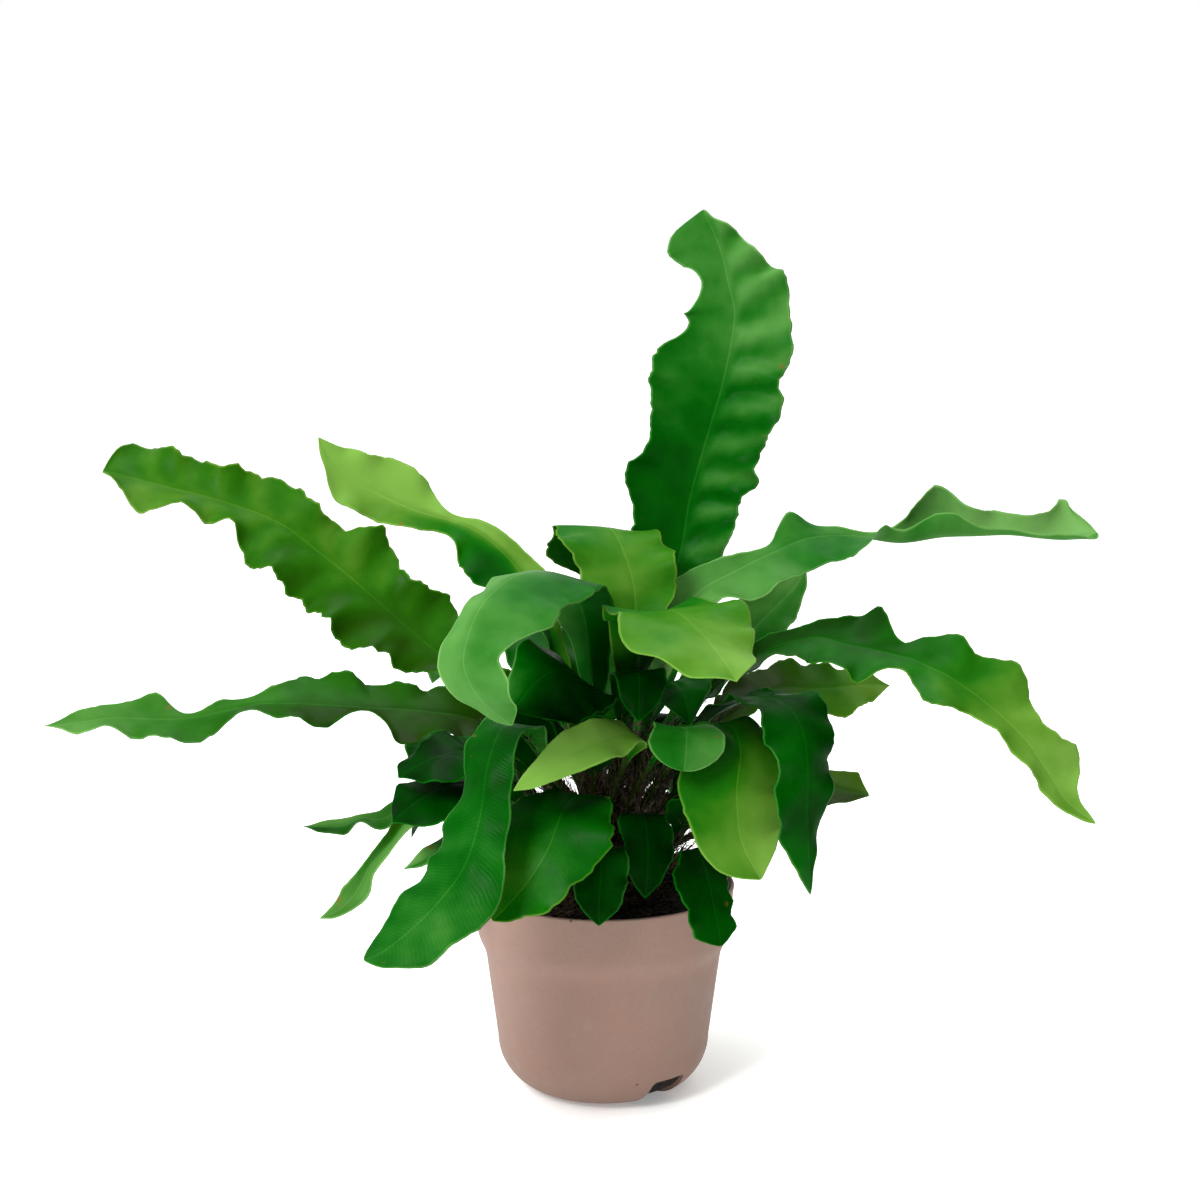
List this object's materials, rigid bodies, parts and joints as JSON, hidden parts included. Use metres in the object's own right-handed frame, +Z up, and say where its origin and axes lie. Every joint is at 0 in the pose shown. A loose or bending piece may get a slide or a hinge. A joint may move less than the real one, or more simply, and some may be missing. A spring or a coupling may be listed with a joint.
{
  "type": "potted fern",
  "caption": "Fern with long, wavy-edged, undivided strap fronds rising from a brown crown in a plain round nursery pot with a deep collar.",
  "frame": {"origin": "centre of the pot's flat underside, on the surface the pot stands on", "axes": "+Z up along the pot's axis, -Y towards the viewer of the picture, +X to the viewer's right"},
  "size_m": [0.4739, 0.3174, 0.3969],
  "materials": {
    "pot_plastic": "matte moulded plastic, taupe pink",
    "peat": "damp crumbly peat",
    "rootstock": "brown, scaly and fuzzy",
    "frond_deep": "leathery, satin, deep green",
    "frond_green": "leathery, satin, mid green",
    "frond_fresh": "leathery, satin, yellow green",
    "frond_olive": "leathery, satin, olive green"
  },
  "bodies": {
    "root": {"pot": "pot_plastic", "soil": "peat", "crown": "rootstock", "frond_tall": "frond_deep", "frond_big_left": "frond_olive", "frond_light_left": "frond_fresh", "frond_curled": "frond_green", "frond_arch_back": "frond_green", "frond_right_long": "frond_green", "frond_right_back_lobe": "frond_deep", "frond_yellow_front": "frond_fresh", "frond_right_droop": "frond_green", "frond_olive_back": "frond_olive", "frond_dark_right": "frond_deep", "frond_front_right": "frond_green", "frond_stub_right": "frond_olive", "frond_veined_left": "frond_green", "frond_bright_front": "frond_fresh", "frond_front_small": "frond_green", "frond_front_mid": "frond_deep", "frond_rim_right": "frond_deep", "frond_long_left": "frond_green", "frond_dark_left": "frond_deep", "frond_dark_left_low": "frond_deep", "frond_ribbon_left": "frond_green", "frond_ribbon_back": "frond_green", "frond_sliver_left": "frond_green", "frond_shade_left": "frond_deep", "frond_yellow_center": "frond_fresh", "frond_cupped_center": "frond_green", "frond_shade_right": "frond_deep", "frond_back_right": "frond_green", "frond_back_middle": "frond_green", "frond_back_left": "frond_green", "frond_back_low_left": "frond_deep", "frond_back_low_right": "frond_deep", "frond_back_skirt_right": "frond_green", "frond_back_skirt_middle": "frond_deep", "frond_back_skirt_left": "frond_green", "frond_low_right": "frond_deep", "frond_low_left": "frond_deep", "frond_shade_middle": "frond_deep", "frond_inner_right": "frond_deep", "frond_inner_left": "frond_deep", "frond_inner_middle": "frond_deep", "frond_inner_back": "frond_deep", "frond_center_back": "frond_deep", "frond_fill_left": "frond_deep", "frond_fill_middle": "frond_deep", "frond_center_back_left": "frond_deep"}
  },
  "joints": []
}
